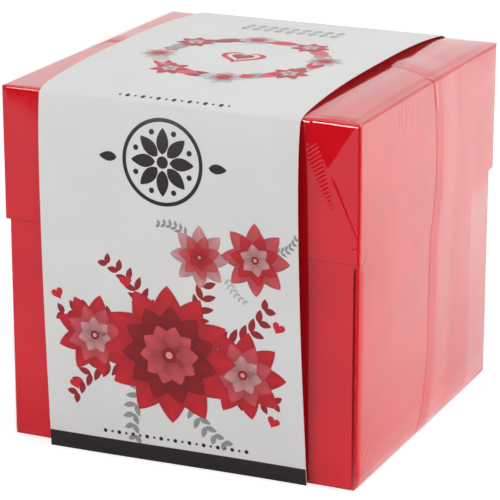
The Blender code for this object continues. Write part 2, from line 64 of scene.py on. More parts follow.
GIFT_TOP = 0.1022
GIFT_HALF = 0.035
GIFT_TRAY_HALF = 0.0341
GIFT_SKIRT_BOTTOM = 0.0842
BOW_FOOT = 0.1032
BOW_HEIGHT = 0.01

# The camera was fitted to the outline of the box in the photograph.
CAMERA_PLACE = (0.3265, -0.7225, 0.3009)
CAMERA_AZIMUTH = math.radians(24.5)
CAMERA_DROP = math.radians(17.4)
CAMERA_LENS = 182.88
CAMERA_SENSOR = 36

SIDES = ("front", "right", "back", "left")
CREASE_ANGLE = math.radians(40)


def smooth(value, low, high):
    """A soft step from 0 at low to 1 at high."""
    share = np.clip((value - low) / (high - low), 0, 1)
    return share * share * (3 - 2 * share)


def hump(value, middle, half):
    """A soft bump, 1 at the middle and 0 from half its width on."""
    return 1 - smooth(np.abs(value - middle), 0, half)


def waves(first, second, size, seed):
    """Soft waves between -1 and 1 over a surface, always the same for one seed."""
    chance = np.random.default_rng(seed)
    total = np.zeros(np.broadcast(first, second).shape)
    for _ in range(7):
        angle = chance.uniform(0, math.tau)
        count = math.tau / (size * chance.uniform(0.6, 1.6))
        phase = chance.uniform(0, math.tau)
        total += np.sin((first * math.cos(angle) + second * math.sin(angle)) * count + phase)
    return total / 7


def crossed(first, second):
    """Two rows of numbers spread over one grid."""
    return np.meshgrid(first, second, indexing="ij")


def zoned(zones):
    """Numbers from zone to zone, as many as each says."""
    places = []
    for (start, count), (stop, _) in zip(zones, zones[1:]):
        places.extend(np.linspace(start, stop, count, endpoint=False))
    return places


def unit(vectors):
    """Vectors brought to length 1."""
    return vectors / np.maximum(np.linalg.norm(vectors, axis=-1, keepdims=True), 1e-12)


def lengths_along(path):
    """The length along a path at each of its points."""
    return np.concatenate([[0], np.cumsum(np.linalg.norm(np.diff(path, axis=0), axis=1))])


def turned(along, out, turn):
    """A place on a side, turned to where that side is."""
    cosine = round(math.cos(turn * math.pi / 2))
    sine = round(math.sin(turn * math.pi / 2))
    return along * cosine + out * sine, along * sine - out * cosine


def grid_faces(rows, columns, closed=False, start=0):
    """Quads over a grid of points."""
    row, column = crossed(np.arange(rows - 1), np.arange(columns if closed else columns - 1))
    here = row.ravel() * columns
    before = column.ravel()
    after = (before + 1) % columns
    quads = np.stack([here + before, here + after, here + columns + after, here + columns + before], axis=1)
    return (quads + start).tolist()


def add_object(name, data):
    """A new object in the scene."""
    thing = bpy.data.objects.new(name, data)
    bpy.context.scene.collection.objects.link(thing)
    return thing


def make_piece(name, points, faces, body, materials, kinds=None, flat=None):
    """A smooth mesh piece that rides on a body, with its finish slot."""
    mesh = bpy.data.meshes.new(name)
    mesh.from_pydata(np.asarray(points, dtype=float).tolist(), [], faces)
    mesh.validate()
    for material in materials:
        mesh.materials.append(material)
    if kinds is not None:
        mesh.polygons.foreach_set("material_index", kinds)
    if flat is not None:
        layer = mesh.uv_layers.new(name="flat")
        corners = np.zeros(len(mesh.loops), dtype=np.int32)
        mesh.loops.foreach_get("vertex_index", corners)
        layer.data.foreach_set("uv", flat[corners].ravel())
    mesh.polygons.foreach_set("use_smooth", [True] * len(mesh.polygons))
    mesh.update()
    piece = add_object(name, mesh)
    if body:
        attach(piece, body)
    return piece


def sheet_piece(name, inner, outer, body, materials, kinds=(0, 0, 0), flat=None):
    """A thin sheet. Outer is a grid or a thickness; kinds are for inner, outer and cut edges."""
    if not isinstance(outer, np.ndarray):
        normals = unit(np.cross(np.gradient(inner, axis=1), np.gradient(inner, axis=0)))
        outer = inner + normals * outer
    rows, columns = inner.shape[:2]
    count = rows * columns
    inner_faces = [face[::-1] for face in grid_faces(rows, columns)]
    outer_faces = grid_faces(rows, columns, start=count)
    spots = np.arange(count).reshape(rows, columns)
    rim = np.concatenate([spots[0], spots[1:, -1], spots[-1, -2::-1], spots[-2:0:-1, 0]]).tolist()
    edges = [[a, b, b + count, a + count] for a, b in zip(rim, rim[1:] + rim[:1])]
    points = np.concatenate([inner.reshape(-1, 3), outer.reshape(-1, 3)])
    kinds = np.repeat(kinds, (len(inner_faces), len(outer_faces), len(edges))).tolist()
    if flat is not None:
        flat = np.concatenate([flat.reshape(-1, 2)] * 2)
    piece = make_piece(name, points, inner_faces + outer_faces + edges, body, materials, kinds, flat)
    piece.data.set_sharp_from_angle(angle=CREASE_ANGLE)
    return piece


def colour(red, green, blue):
    """A colour of a shader socket."""
    return (red, green, blue, 1)


class Nodes:
    """The nodes of a new material or world."""

    def __init__(self, name, owners=bpy.data.materials):
        self.owner = owners.new(name)
        self.owner.use_nodes = True
        self.tree = self.owner.node_tree
        self.tree.nodes.clear()

    def add(self, kind, inputs=None, **settings):
        """Adds a node and gives its outputs."""
        node = self.tree.nodes.new("ShaderNode" + kind)
        for key, value in settings.items():
            setattr(node, key, value)
        for key, value in (inputs or {}).items():
            if isinstance(value, bpy.types.NodeSocket):
                self.tree.links.new(value, node.inputs[key])
            else:
                node.inputs[key].default_value = value
        return node.outputs

    def sum(self, operation, *values):
        """One sum on one to three values."""
        return self.add("Math", dict(enumerate(values)), operation=operation)[0]

    def times(self, first, second):
        """A product."""
        return self.sum("MULTIPLY", first, second)

    def line(self, value, slope, start):
        """A value times slope, plus start."""
        return self.sum("MULTIPLY_ADD", value, slope, start)

    def mix(self, share, first, second):
        """A mix of two colours."""
        return self.add("Mix", {0: share, 6: first, 7: second}, data_type="RGBA")[2]

    def ramp(self, value, low, high):
        """A soft step in a value from 0 at low to 1 at high."""
        return self.add("MapRange", {0: value, 1: low, 2: high}, interpolation_type="SMOOTHSTEP")[0]

    def place(self):
        """Places on the object, in metres."""
        return self.add("TexCoord")["Object"]

    def noise(self, size, detail=2, stretch=(1, 1, 1), place=None):
        """Noise with features about size metres across."""
        scaled = self.add("Mapping", {"Vector": place or self.place(), "Scale": stretch})[0]
        return self.add("TexNoise", {"Vector": scaled, "Scale": 1 / size, "Detail": detail})[0]

    def ribs(self, place, axis, size, distortion):
        """Even ribs across an axis."""
        inputs = {"Vector": place, "Scale": 1 / size, "Distortion": distortion}
        return self.add("TexWave", inputs, bands_direction=axis)[1]

    def bump(self, height, strength, distance, normal=None):
        """A bump from a height."""
        inputs = {"Height": height, "Strength": strength, "Distance": distance}
        if normal is not None:
            inputs["Normal"] = normal
        return self.add("Bump", inputs)[0]

    def surface(self, base, rough, normal, shine=0.5, **more):
        """A solid surface."""
        inputs = {"Base Color": base, "Roughness": rough, "Normal": normal, "Specular IOR Level": shine}
        return self.add("BsdfPrincipled", {**inputs, **more})[0]

    def finish(self, shader, output="OutputMaterial"):
        """Links a shader to the output."""
        self.add(output, {"Surface": shader})
        return self.owner


CARD_RED = colour(0.87, 0.004, 0.014)
CARD_RED_DEEP = colour(0.79, 0.0028, 0.011)
# The lighter colour of the card's edges: partly worn card, partly a painted highlight.
CARD_CORE_AND_HIGHLIGHT = colour(0.8, 0.13, 0.135)
# The dark red of painted shade, used by the painted shadow lines.
CARD_SHADE = colour(0.12, 0.008, 0.011)
SATIN_RED = colour(0.84, 0.015, 0.03)
SATIN_RED_DEEP = colour(0.6, 0.004, 0.012)
SATIN_EDGE = colour(0.5, 0.0035, 0.01)
PAPER_WHITE = colour(0.8, 0.797, 0.79)
PAPER_FIBRE = colour(0.6, 0.59, 0.56)
PAPER_CORE = colour(0.8, 0.78, 0.74)
# The sleeve's inner face is white paper; this darker, warmer colour is painted shade with a painted red
# bounce from the lid.
PAPER_BACK_PAINTED_SHADE = colour(0.56, 0.43, 0.39)
LINEN_RIB = 0.006


def linen_height(nodes):
    """Fine ribs every way, as embossed in linen card."""
    place = nodes.place()
    total = 0
    for axis in ("X", "Y", "Z"):
        total = nodes.sum("ADD", total, nodes.ribs(place, axis, LINEN_RIB, 0.6))
    return total


def card_material(name, fibre, gloss, wear_and_highlight, linen=0, shine=0.5, shade=0):
    """Coated red card: cloudy colour, fine fibre, lighter worn edges that are partly a painted highlight,
    perhaps a linen emboss, and painted shade where shade is given.
    """
    nodes = Nodes(name)
    clouds = nodes.noise(0.018, 3)
    flecks = nodes.ramp(nodes.noise(0.0012, 2, (1, 1, 0.35)), 0.58, 0.72)
    base = nodes.mix(nodes.ramp(clouds, 0.35, 0.7), CARD_RED_DEEP, CARD_RED)
    base = nodes.mix(nodes.times(flecks, 0.2), base, CARD_RED_DEEP)
    # Lighter edges from a bevel mask broken by chips: partly wear, partly a painted highlight.
    rounded = nodes.add("Bevel", {"Radius": 0.00045}, samples=4)[0]
    faces = nodes.add("NewGeometry")["Normal"]
    alike = nodes.add("VectorMath", {0: rounded, 1: faces}, operation="DOT_PRODUCT")["Value"]
    chips = nodes.ramp(nodes.noise(0.003, 4), 0.42, 0.66)
    worn_and_highlit = nodes.times(nodes.times(nodes.ramp(alike, 0.985, 0.8), chips), wear_and_highlight)
    # Where shade is given, the colour is darkened towards CARD_SHADE: painted shade.
    base = nodes.mix(shade, nodes.mix(worn_and_highlit, base, CARD_CORE_AND_HIGHLIGHT), CARD_SHADE)
    height = nodes.noise(0.0005)
    if linen:
        height = nodes.line(linen_height(nodes), linen, height)
    normal = nodes.bump(nodes.noise(0.006), 0.05, 0.0002, nodes.bump(height, fibre, 0.00003))
    return nodes.finish(nodes.surface(base, nodes.line(clouds, 0.1, gloss), normal, shine))


def ribbon_material():
    """Red satin ribbon: fine ribs, woven edges and soft streaks along it."""
    nodes = Nodes("ribbon_satin")
    flat = nodes.add("UVMap", uv_map="flat")[0]
    across = nodes.add("SeparateXYZ", {0: flat})[0]
    edge = nodes.ramp(nodes.sum("ABSOLUTE", across), 0.0041, 0.0046)
    streak = nodes.noise(1 / 900, 3, (1, 0.08, 1), flat)
    base = nodes.mix(streak, SATIN_RED_DEEP, SATIN_RED)
    base = nodes.mix(nodes.times(edge, 0.6), base, SATIN_EDGE)
    weave = nodes.line(nodes.ribs(flat, "X", 0.0016, 0.8), 0.35, nodes.ribs(flat, "Y", 0.0013, 0.4))
    normal = nodes.bump(nodes.sum("ADD", weave, edge), 0.45, 0.00005)
    sheen = {"Sheen Weight": 0.12, "Sheen Roughness": 0.3, "Sheen Tint": colour(1, 0.3, 0.3)}
    rough = nodes.line(streak, 0.2, 0.24)
    return nodes.finish(nodes.surface(base, rough, normal, Anisotropic=0.55, **sheen))


def paper_material(name, tone, gloss):
    """Coated white paper: faint clouds, fibre and a soft gloss."""
    nodes = Nodes(name)
    fibre = nodes.noise(0.0008, 3)
    dim = colour(*(0.965 * part for part in tone[:3]))
    base = nodes.mix(nodes.ramp(nodes.noise(0.02, 3), 0.3, 0.7), dim, tone)
    base = nodes.mix(nodes.times(nodes.ramp(fibre, 0.56, 0.75), 0.06), base, PAPER_FIBRE)
    normal = nodes.bump(nodes.noise(0.0002), 0.12, 0.00003)
    normal = nodes.bump(nodes.noise(0.009), 0.08, 0.0003, normal)
    return nodes.finish(nodes.surface(base, nodes.line(fibre, 0.14, gloss), normal, 0.4))


def ink_material():
    """Printed inks: each shape's own colour, a halftone grain and a little gloss."""
    nodes = Nodes("sleeve_print_inks")
    ink = nodes.add("Attribute", attribute_name="ink")["Color"]
    grain = nodes.noise(0.00035)
    clouds = nodes.noise(0.004, 3)
    faded = nodes.line(nodes.ramp(grain, 0.45, 0.75), -0.1, 1)
    faded = nodes.line(nodes.ramp(clouds, 0.4, 0.75), -0.12, faded)
    base = nodes.add("VectorMath", {0: ink, "Scale": faded}, operation="SCALE")[0]
    return nodes.finish(nodes.surface(base, nodes.line(clouds, 0.15, 0.3), nodes.bump(grain, 0.1, 0.00003)))


def film_material():
    """Clear shrink film, whose two faces mirror the light."""
    nodes = Nodes("shrink_film_clear")
    streak = nodes.noise(0.003, 3, (1, 1, 0.1))
    normal = nodes.bump(streak, 0.06, 0.00025)
    facing = nodes.add("LayerWeight", {"Blend": 0.5, "Normal": normal})["Facing"]
    once = nodes.line(nodes.sum("POWER", facing, 5), 0.95, 0.045)
    both = nodes.sum("DIVIDE", nodes.times(once, 2), nodes.sum("ADD", once, 1))
    hazed = nodes.line(nodes.ramp(nodes.noise(0.0009), 0.62, 0.8), 0.008, both)
    clear = nodes.add("BsdfTransparent", {"Color": colour(0.99, 0.99, 0.99)})[0]
    gloss = nodes.surface(colour(0.97, 0.97, 0.97), nodes.line(streak, 0.05, 0.03), normal, Metallic=1)
    return nodes.finish(nodes.add("MixShader", {0: hazed, 1: clear, 2: gloss})[0])


LID_CARD = card_material("red_card_matt", 0.1, 0.4, 0.75, shine=0.06)
BOX_CARD = card_material("red_card_coated", 0.1, 0.16, 0.75)
WING_CARD = card_material("red_card_wing", 0.16, 0.24, 0.55)
LEAF_CARD = card_material("red_card_linen", 0.4, 0.36, 0.45, linen=0.6)
CREASE_CARD = card_material("red_card_crease", 0.6, 0.45, 0.3)
# A dark card for the painted shadow lines: painted shade.
PAINTED_SHADE_CARD = card_material("red_card_painted_shade", 0.6, 0.6, 0, shine=0.1, shade=0.85)
SATIN = ribbon_material()
SLEEVE_WHITE = paper_material("sleeve_coated_paper", PAPER_WHITE, 0.38)
SLEEVE_CORE = paper_material("sleeve_paper_core", PAPER_CORE, 0.7)
# The sleeve's inner face: painted shade with a painted red bounce.
SLEEVE_BACK_PAINTED_SHADE = paper_material("sleeve_paper_back_painted_shade", PAPER_BACK_PAINTED_SHADE, 0.75)
INKS = ink_material()
CLEAR_FILM = film_material()

CARD_FINISHES = (
    (("box_lid", "base_panel", "outer_wall_"), LID_CARD),
    (("gift_box_", "platform_case", "drawer_tray"), BOX_CARD),
    (("inner_base_panel", "inner_wall_", "wing_"), WING_CARD),
    (("photo_card_", "round_card_"), LEAF_CARD),
)


def dress_cards():
    """Gives every card node its detailed material."""
    for starts, material in CARD_FINISHES:
        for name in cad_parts:
            if not name.startswith(starts):
                continue
            finishes = bpy.data.objects[name].data.materials
            if not finishes:
                finishes.append(material)
            for index in range(len(finishes)):
                finishes[index] = material


# The film's folds, measured in the photograph. Their places and heights are in millimetres.
MM = 0.001
SEAM_ON_TOP = ((-60, 6), (-20, 9), (20, 11), (42.1, 8.1), (50.8, 3.6), (60.1, -1.2))
SEAM_ON_RIGHT = ((0, -11.5), (2.6, -10.4), (11.6, -7.4), (18.5, -5.6), (27.8, -4), (46.4, -3.9), (65, -3.6),
                 (72.6, -0.9), (82, 1.4), (93.5, 2.2), (104, 1.6), (110.4, 0.4), (115.4, -1.2))
SEAM_STEP = 0.12
SEAM_RISE = 5.5
SEAM_FALL = 16
SEAM_NOTCH = 0.15
SEAM_ON_TOP_HEIGHT = 0.4
SEAM_ON_SIDE_HEIGHT = 0.36
FILM_DOME = 1.9
FRONT_DOME = 0.5
TOP_LEDGE = 0.42
RIGHT_SWELL = 0.9
SWELL_FALL = (0.4, 1.15)
STRETCH_HEIGHT = 0.07
FRONT_FOLD = ((44.3, 113.5), (60.2, 78.4))
FOLD_EDGE = 0.35
FOLD_DROP = 0.1
TUCK_EDGE = ((58.3, 114), (50.1, 100.9))
TUCK_LEFT = ((43.6, 108.2), (48.2, 107.2))
TUCK_FOOT = 96
TUCK_LEAN = 0.027
FLAP_LEAN = 0.024
RIDGE_LINE = ((44.7, 106.4), (51.4, 88.9))
RIDGE_TURN = math.radians(36)
RIDGE_PITCH = 1.193
RIDGE_COUNT = 16
RIDGE_HEIGHT = 0.041
RIDGE_HALF_LENGTHS = (2.4, 0.4)
FRONT_NICKS = (((54.2, 75.1), (57.4, 76.2), 0.05), ((57.2, 76.3), (59.7, 77.8), 0.12))
CORNER_CREASES = (((-56.7, 10), (-51.6, 18.5), 0.12), ((-56.6, 5.5), (-49.3, 15), 0.13),
                  ((-50.4, 11), (-46.5, 17), 0.04), ((-59.2, 70.6), (-53, 75.6), 0.14),
                  ((-59.2, 69.4), (-54.5, 67.4), 0.1))
CORNER_PLACE = 60
RIM_FACET_FOOT = 114.13
RIM_FACET_SLOPE = 0.227
RIM_RADIUS = 0.0009
CORNER_RADIUS = 0.0009
CORNER_RADIUS_BELOW = 0.0022
# Where the film stands off the box below the lid: places along each side from -1 to 1, with shares.
BRIDGED = (
    ((-1, 0), (-0.84, 0), (-0.6, 1), (1, 1)),
    ((-1, 1), (0.6, 1), (1, 0)),
    ((-1, 0), (-0.96, 0), (-0.8, 1), (0.8, 1), (0.96, 0), (1, 0)),
    ((-1, 0), (1, 0)),
)
LOOSE_CORNER_RIGHT = 0.0005
LOOSE_CORNER_DROP = 0.002
LOOSE_CORNER_BACK = 0.0014
LOOSE_BELOW_LID = 0.2
# Beside the sleeve the film stands a little off the lid, in millimetres.
SHOULDER = 0.2
SHOULDER_FRONT = 0.35
SHOULDER_FADE = (36, 47)
SHOULDER_TOP = 0.25
SHOULDER_TOP_FADE = (30, 44)
# Zones of the film's grid, each with its start and its count: round the four sides, and up to the rim.
SIDE_ZONES = (
    ((-1, 30), (-0.72, 12), (0.66, 74), (1, 0)),
    ((-1, 40), (-0.74, 100), (0, 60), (0.28, 40), (1, 0)),
    ((-1, 60), (1, 0)),
    ((-1, 30), (-0.3, 70), (0.1, 20), (1, 0)),
)
HEIGHT_ZONES = ((FILM_FOOT, 24), (0.022, 24), (0.068, 22), (0.0735, 14), (0.0785, 18), (0.087, 86),
                (0.1085, 22), (0.114, 8), (FILM_TOP - RIM_RADIUS, 0))


def along_line(first, second, line):
    """Place along a line, distance from it, its length."""
    (x0, y0), (x1, y1) = line
    length = math.hypot(x1 - x0, y1 - y0)
    along = ((first - x0) * (x1 - x0) + (second - y0) * (y1 - y0)) / length
    aside = ((first - x0) * (y1 - y0) - (second - y0) * (x1 - x0)) / length
    return along, aside, length


def line_height(x, line):
    """Height at x of a line through two places."""
    (x0, z0), (x1, z1) = line
    return z0 + (x - x0) * (z1 - z0) / (x1 - x0)


def seam_height(place, path, across, height, notch=0):
    """Height of the film's seam fold: a sharp step, a slow rise and a soft fall."""
    aside = across - np.interp(place, *zip(*path))
    step = SEAM_STEP * smooth(aside, -0.25, 0.15)
    rise = (height - SEAM_STEP) * np.clip(aside / SEAM_RISE, 0, 1)
    lip = notch * smooth(aside, -0.25, 0.1) * (1 - smooth(aside, 0.1, 2.5))
    return (step + rise) * (1 - smooth(aside, SEAM_RISE, SEAM_RISE + SEAM_FALL)) + lip


def tucked_triangle(x, z):
    """The folded triangle under the rim, and the flap that leans out beside it."""
    edge = line_height(x, TUCK_EDGE)
    lean_out = FLAP_LEAN * np.clip(np.minimum(z, edge) - TUCK_FOOT, 0, None)
    lean_back = TUCK_LEAN * np.clip(z - np.maximum(edge, TUCK_FOOT), 0, None)
    along, aside, length = along_line(x, z, FRONT_FOLD)
    beyond = smooth(-aside, 0, FOLD_EDGE)
    tucked = (lean_out - lean_back - FOLD_DROP) * beyond * (1 - smooth(along, length - 3, length))
    above = np.clip(z - line_height(x, TUCK_LEFT), 0, None)
    return tucked - TUCK_LEAN * above * smooth(x, 38, 43) * (1 - beyond)


def ridges(x, z):
    """The row of short heat ridges beside the long fold."""
    cosine = math.cos(RIDGE_TURN)
    sine = math.sin(RIDGE_TURN)
    along, _, length = along_line(x, z, RIDGE_LINE)
    (x0, z0), (x1, z1) = RIDGE_LINE
    down = (sine * (x - x0) - cosine * (z - z0)) / RIDGE_PITCH
    share = np.clip(down / (RIDGE_COUNT - 1), 0, 1)
    middle = cosine * (x0 + share * (x1 - x0)) + sine * (z0 + share * (z1 - z0))
    half = np.interp(share, (0, 1), RIDGE_HALF_LENGTHS)
    inside = 1 - smooth(np.abs(cosine * x + sine * z - middle), half - 0.35, half + 0.25)
    inside = inside * smooth(along, -1.4, -0.6) * (1 - smooth(along, length + 0.3, length + 1))
    return RIDGE_HEIGHT * np.sin(math.tau * down) * inside


def creases(first, second, places, half):
    """Short straight creases that fade at both ends."""
    total = 0
    for start, stop, depth in places:
        along, aside, length = along_line(first, second, (start, stop))
        ends = smooth(along, -0.5, 1) * (1 - smooth(along, length * 0.6, length))
        total = total + depth * hump(aside, 0, half) * ends
    return total


def front_relief(x, z):
    """Folds on the front, with a narrow facet along the rim."""
    foot = RIM_FACET_FOOT + 0.13 * waves(x, 0, 5, 31)
    slope = RIM_FACET_SLOPE * (0.3 + 0.7 * np.maximum(smooth(x, 0, 30), smooth(-x, 57.8, 58.6)))
    return front_folds(x, np.minimum(z, foot)) - slope * np.clip(z - foot, 0, 0.6)


def front_folds(x, z):
    """The front's dome, shoulders, tuck, ridges and nicks."""
    dome = FRONT_DOME * np.clip(1 - (x / 57) ** 6, 0, 1) * smooth(z, 0, 30) * (1 - smooth(z, 78, 113))
    shoulder = SHOULDER_FRONT * smooth(np.abs(x), *SHOULDER_FADE)
    nicks = creases(x, z, FRONT_NICKS, 0.55)
    return dome + shoulder + tucked_triangle(x, z) + ridges(x, z) + nicks + 0.016 * waves(x, z, 26, 3)


def right_relief(y, z):
    """Folds on the right: the seam, stretch wrinkles and corner creases."""
    notch = SEAM_NOTCH * smooth(z, 104.5, 108)
    seam = seam_height(z, SEAM_ON_RIGHT, y, SEAM_ON_SIDE_HEIGHT, notch)
    under_rim = smooth(z, 102, 108) * (1 - smooth(z, 111, 114))
    stretched = STRETCH_HEIGHT * waves(y * 3.2, z * 0.3, 6, 11) * hump(y, -21, 19) * under_rim
    drawn = 0.05 * waves(y, z * 0.35, 30, 5) + 0.03 * waves(y, z, 13, 6)
    return seam + stretched + creases(y, z, CORNER_CREASES, 0.5) + drawn + swell(y, z)


def swell(y, z):
    """The soft swelling on the right, steepest by the front corner and, higher up, at the back."""
    low, high = SWELL_FALL
    ahead = RIGHT_SWELL * (1 - np.clip((-20 - y) / 40, 0, 1) ** 2.5) * (1 - smooth(z, 60, 116))
    fall = np.clip((y - 15) / 45, 0, 1) ** 2 * (1 - smooth(z, 100, 115))
    return (ahead - fall * (low + (high - low) * smooth(z, 20, 80))) * smooth(z, -2, 12)


def side_relief(turn, along, z):
    """Outward relief of one side."""
    if turn == 0:
        return front_relief(along, z)
    if turn == 1:
        return right_relief(along, z)
    if turn == 2:
        return 0.05 * waves(along, z * 0.4, 28, 9)
    return seam_height(z, SEAM_ON_RIGHT, -along, SEAM_ON_SIDE_HEIGHT) + 0.03 * waves(along, z, 24, 8)


def top_relief(x, y):
    """Relief of the film over the lid."""
    seam = seam_height(x, SEAM_ON_TOP, y, SEAM_ON_TOP_HEIGHT)
    across = (0.1 + 0.9 * smooth(x, -44, 0)) * (1 - (x / 59) ** 4)
    deep = 1 - np.abs(y / 59) ** np.where(y < 0, 4, 8)
    dome = FILM_DOME * np.clip(across, 0, None) * np.clip(deep, 0, None)
    return seam + dome + 0.02 * waves(x, y, 28, 13)


def top_ledge(x, y):
    """How much the film over the lid stands above its right rim, to which it slopes down."""
    across = smooth(x, 44, 51) * (1 - smooth(x, 56.6, 59.7))
    return TOP_LEDGE * across * (1 - smooth(y, 30, 58)) * smooth(y, -60.5, -56)


def film_halves(turn, share, z):
    """How far a side lies from the middle: tight under the lid, or straight down to the foot."""
    to_back = {1: share, 2: -share}.get(turn, 0)
    drop = LOOSE_CORNER_DROP * smooth(to_back, 0.6, 1)
    step = smooth(z, SKIRT_BOTTOM - (0.009 if turn == 1 else 0.003) - drop, SKIRT_BOTTOM + 0.0004 - drop)
    straight = smooth(z, FILM_FOOT - 0.002, FILM_FOOT + 0.0045)
    amount = np.interp(share, *zip(*BRIDGED[turn]))
    full = FILM_HALF + (SHOULDER * MM if turn == 1 else 0)
    half = FILM_TIGHT_HALF + (full - FILM_TIGHT_HALF) * (step + (straight - step) * amount)
    loose = LOOSE_BELOW_LID + (1 - LOOSE_BELOW_LID) * step
    if turn == 1:
        half = half + LOOSE_CORNER_RIGHT * loose * smooth(to_back, 0.6, 1)
    elif turn == 2:
        half = half + LOOSE_CORNER_BACK * loose * smooth(to_back, 0.5, 1)
    return half


def shoulder_rise(x, y, z):
    """How much higher the film stands beside the sleeve, near the rim."""
    beside = smooth(np.abs(x) / MM, *SHOULDER_TOP_FADE)
    right = 1 - 2 * smooth(y / MM, -20, 60)
    left = 0.4 + 1.2 * smooth(y / MM, 4, 9)
    return SHOULDER_TOP * MM * beside * np.where(x > 0, right, left) * smooth(z, 0.095, FILM_TOP)


def corner_relief(turn, z):
    """Relief carried round the corner at a side's end: only the front's."""
    return front_relief(CORNER_PLACE, z / MM) * MM if turn == 0 else 0


def corner_radius(turn, z, inset):
    """Radius of a side's corner: wide where the film bridges from lid to foot."""
    radius = CORNER_RADIUS
    if turn == 0:
        below = 1 - smooth(z, SKIRT_BOTTOM - 0.003, SKIRT_BOTTOM + 0.0004)
        radius += (CORNER_RADIUS_BELOW - CORNER_RADIUS) * below
    return max(radius - inset * 0.6, 0.0002)


def film_ring(z, inset):
    """One ring of the film at a height, drawn in by inset at the rim."""
    parts = []
    fade = math.cos(min(inset / RIM_RADIUS, 1) * math.pi / 2)
    bends = np.array((0.33, 0.67)) * math.pi / 2
    turns = range(4)
    radii = [corner_radius(turn, z, inset) for turn in turns]
    ends = [film_halves(turn, 1, z) + corner_relief(turn, z) * fade - inset - radii[turn] for turn in turns]
    for turn, zones in enumerate(SIDE_ZONES):
        radius = radii[turn]
        share = np.array(zoned(zones) + [1])
        before = ends[turn - 1]
        after = film_halves((turn + 1) % 4, -1, z) - inset - radius
        along = -before + (share + 1) / 2 * (before + after)
        free = 1 + share if turn == 0 else np.minimum(1 - share, 1 + share)
        relief = side_relief(turn, along / MM, np.full_like(along, z / MM)) * MM * smooth(free, 0, 0.012)
        lift = relief * (1 - fade) if turn in (1, 3) else 0
        side = turned(along, film_halves(turn, share, z) - inset + relief * fade, turn)
        corner = turned(after + radius * np.sin(bends), ends[turn] + radius * np.cos(bends), turn)
        for (x, y), more in ((side, lift), (corner, 0)):
            parts.append(np.stack([x, y, z + more + shoulder_rise(x, y, z)], axis=1))
    return np.concatenate(parts)


def make_film():
    """The shrink film: a bag over lid and box."""
    rings = [film_ring(z, 0) for z in zoned(HEIGHT_ZONES)]
    for angle in np.linspace(0, math.pi / 2, 7):
        drop = RIM_RADIUS * (1 - math.sin(angle))
        rings.append(film_ring(FILM_TOP - drop, RIM_RADIUS * (1 - math.cos(angle))))
    rim = rings[-1].copy()
    steps = (np.linspace(0.004, 0.12, 14), np.linspace(0.14, 0.35, 22), np.linspace(0.38, 0.98, 26))
    for scale in 1 - np.concatenate(steps):
        row = rim * (scale, scale, 1)
        x, y = row[:, :2].T
        fade = smooth(1 - scale, 0, 0.05)
        over = FILM_TOP + shoulder_rise(x, y, FILM_TOP) + top_relief(x / MM, y / MM) * MM
        row[:, 2] = (1 - fade) * rim[:, 2] + fade * over + top_ledge(x / MM, y / MM) * MM
        rings.append(row)
    columns = len(rim)
    faces = grid_faces(len(rings), columns, closed=True)
    faces.append([(len(rings) - 1) * columns + index for index in range(columns)])
    film = make_piece("film_wrap", np.concatenate(rings), faces, "lid", [CLEAR_FILM])
    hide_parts("shrink_film")


# The sleeve: its path runs from the front foot over the lid to the back foot.
SLEEVE_WIDTH = 0.0872
SLEEVE_FACE = 0.0604
SLEEVE_CREASE = 0.1157
SLEEVE_FOOT = 0.0002
SLEEVE_FOOT_OFFSET = 0.0005
SLEEVE_LEAN = 0.0028
SLEEVE_RISE = 0.0032
SLEEVE_BULGE = 0.0029
SLEEVE_BULGE_MORE_RIGHT = 0.0008
SLEEVE_FLARE = 0.0006
SLEEVE_FLARE_LEFT = 0.0026
SLEEVE_FOLD = 0.0013
SLEEVE_WAVE = 0.0002
LEG_POINTS = 90
TOP_POINTS = 121


def below_crease(z):
    """How far down a leg a height is, from 0 at the crease to 1 at the floor."""
    return 1 - np.clip(z / SLEEVE_CREASE, 0, 1)


def bulge_share(z):
    """How far a leg stands out, from 0 to 1."""
    return (1 - below_crease(z)) ** 1.15 * below_crease(z) ** 0.6 / 0.3246


def sleeve_profile():
    """The sleeve's path seen from the side."""
    heights = np.linspace(SLEEVE_FOOT, SLEEVE_CREASE - SLEEVE_FOLD, LEG_POINTS)
    bulge = SLEEVE_BULGE * bulge_share(heights) + SLEEVE_FLARE * below_crease(heights)
    front = np.stack([-SLEEVE_FACE - bulge, heights], axis=1)
    across = np.linspace(-1, 1, TOP_POINTS)
    rise = SLEEVE_RISE * (1 - np.abs(across) ** 2.6) - 0.8 * SLEEVE_FOLD * np.abs(across) ** 40
    top = np.stack([(SLEEVE_FACE + 0.0003) * across, SLEEVE_CREASE + rise], axis=1)
    return np.concatenate([front, top, front[::-1] * (-1, 1)])


PATH = sleeve_profile()
PATH_LENGTHS = lengths_along(PATH)
FRONT_LENGTH = float(PATH_LENGTHS[LEG_POINTS - 1])
TOP_LENGTH = float(PATH_LENGTHS[LEG_POINTS + TOP_POINTS - 1] - PATH_LENGTHS[LEG_POINTS])
SLEEVE_LENGTH = float(PATH_LENGTHS[-1])


def sleeve_place(across, along):
    """Inner face of the sleeve at a place of the flat sheet."""
    y = np.interp(along, PATH_LENGTHS, PATH[:, 0])
    z = np.interp(along, PATH_LENGTHS, PATH[:, 1])
    side = across / (SLEEVE_WIDTH / 2)
    free = bulge_share(z)
    curl = SLEEVE_BULGE_MORE_RIGHT * side * free + SLEEVE_WAVE * waves(across, along, 0.06, 21) * free
    curl = curl + SLEEVE_FLARE_LEFT * np.where(y < 0, below_crease(z), 0) * smooth(-side, -1, 1.2)
    top = smooth(0.06 - np.abs(y), 0, 0.012) * smooth(z, SLEEVE_CREASE - 0.001, SLEEVE_CREASE + 0.0005)
    lift = SLEEVE_WAVE * waves(across, along, 0.07, 22) * top
    x = SLEEVE_FOOT_OFFSET + across - SLEEVE_LEAN * z / SLEEVE_CREASE
    return np.stack([x, y + np.sign(y) * curl, z + lift], axis=-1)


